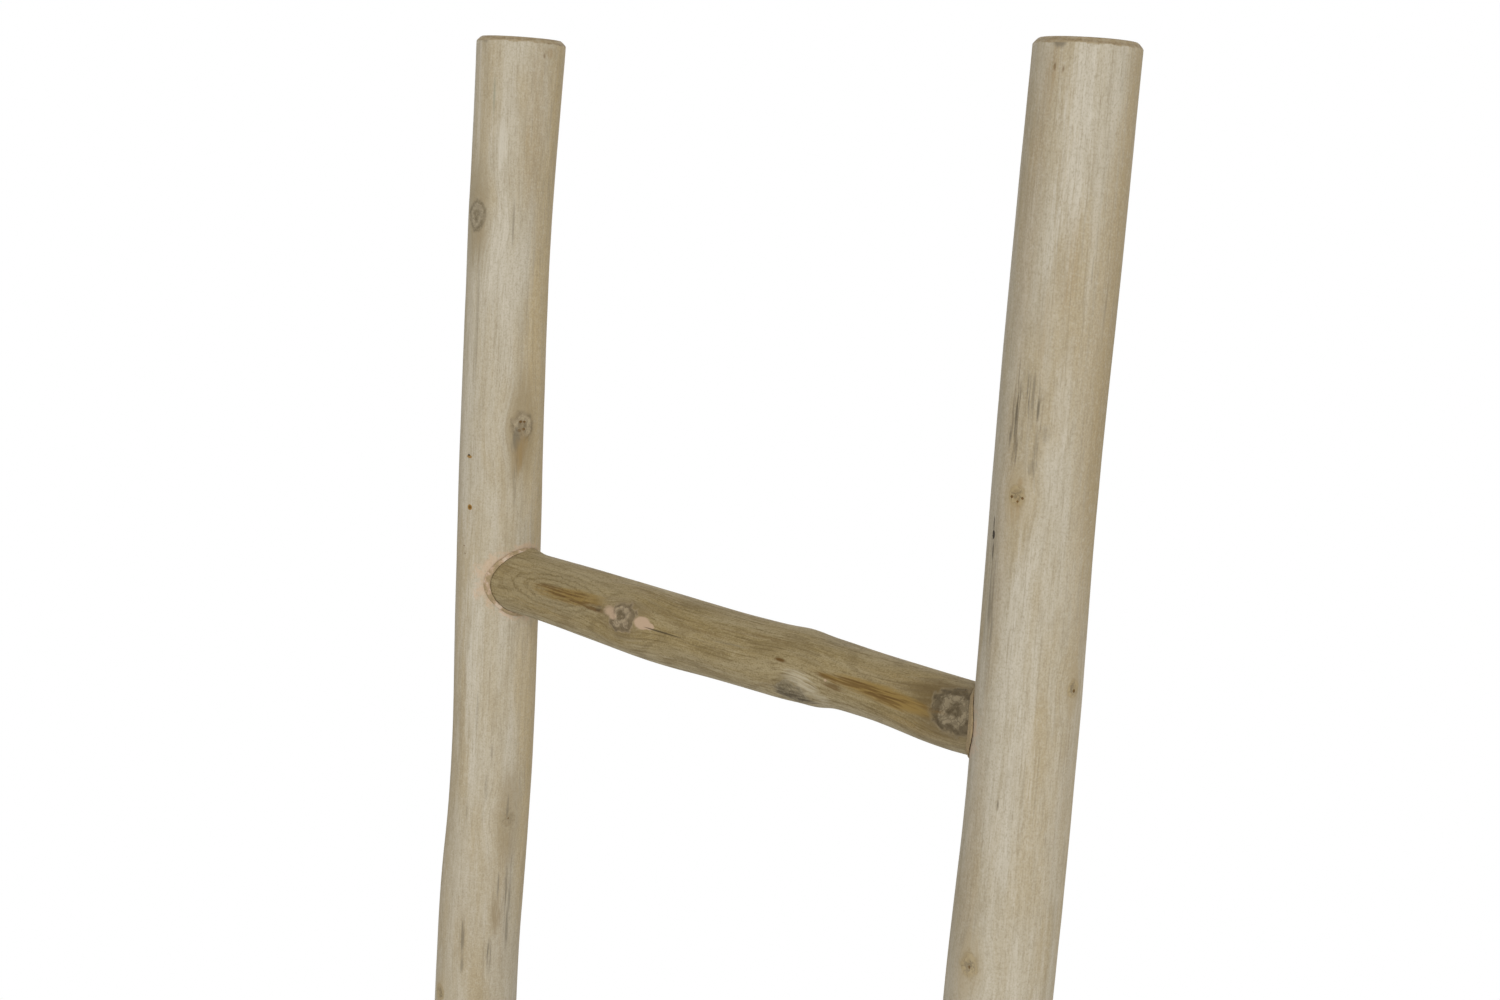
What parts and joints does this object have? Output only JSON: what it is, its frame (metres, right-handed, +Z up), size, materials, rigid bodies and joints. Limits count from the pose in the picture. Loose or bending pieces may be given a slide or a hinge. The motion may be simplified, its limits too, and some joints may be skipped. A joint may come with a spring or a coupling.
{
  "type": "towel ladder",
  "caption": "Leaning towel ladder of peeled natural wood poles, with round rungs socketed between two slightly bent rails.",
  "frame": {"origin": "on the floor, midway between the two rails", "axes": "+Z up along the rails, +X towards the right-hand rail, +Y towards the wall, -Y towards the room"},
  "size_m": [0.512, 0.067, 1.75],
  "materials": {
    "peeled_rail": "peeled and sanded teak sapwood, unfinished, pale greige with long tan and grey streaks",
    "peeled_rung": "peeled and sanded teak branch, unfinished, darker olive brown with streaks and knots",
    "wood_filler": "dry pinkish wood filler, sanded flush"
  },
  "bodies": {
    "root": {"rail_left": "peeled_rail", "rail_right": "peeled_rail", "rung_1": "peeled_rung", "rung_2": "peeled_rung", "rung_3": "peeled_rung", "rung_4": "peeled_rung", "filler_rung_1_left": "wood_filler", "filler_rung_1_right": "wood_filler", "filler_rung_2_left": "wood_filler", "filler_rung_2_right": "wood_filler", "filler_rung_3_left": "wood_filler", "filler_rung_3_right": "wood_filler", "filler_rung_4_left": "wood_filler", "filler_rung_4_right": "wood_filler"}
  },
  "joints": []
}
